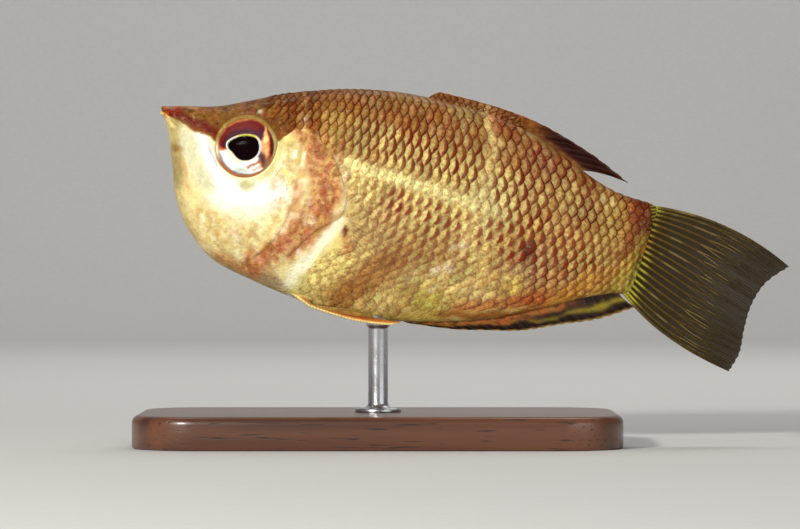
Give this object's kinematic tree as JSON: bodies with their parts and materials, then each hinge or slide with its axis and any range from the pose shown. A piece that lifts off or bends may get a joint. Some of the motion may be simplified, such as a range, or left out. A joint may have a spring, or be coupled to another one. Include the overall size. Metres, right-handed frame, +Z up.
{
  "type": "chocolate gourami display model",
  "caption": "Life-size still model of a small deep-bodied labyrinth fish with a full throat, folded fins and a spread tail, held nose-up on a flat base by one short rod.",
  "frame": {"origin": "middle of the underside of the stand's base", "axes": "+Z up; the fish's head points towards -X and its left flank faces -Y"},
  "size_m": [0.0596, 0.026, 0.0325],
  "materials": {
    "head_skin": "moist skin, brown above and cream to silver below",
    "flank_skin": "moist scaled skin, red-brown with olive-tan scales and pale bars",
    "eye": "clear wet dome over a silver and dark red iris",
    "dark_fin": "folded fin, dark red-brown and olive with gold and orange marks",
    "clear_fin": "thin clear fin with brown rays",
    "stand_base": "dark stained wood under satin lacquer",
    "stand_rod": "brushed"
  },
  "bodies": {
    "root": {"head": "head_skin", "gill_cover_left": "head_skin", "gill_cover_right": "head_skin", "eye_left": "eye", "eye_right": "eye", "torso": "flank_skin", "tail_stalk": "flank_skin", "dorsal_fin": "dark_fin", "anal_fin": "dark_fin", "caudal_fin": "clear_fin", "pectoral_fin_left": "clear_fin", "pectoral_fin_right": "clear_fin", "pelvic_fin_left": "dark_fin", "pelvic_fin_right": "dark_fin", "stand_base": "stand_base", "stand_rod": "stand_rod"}
  },
  "joints": []
}
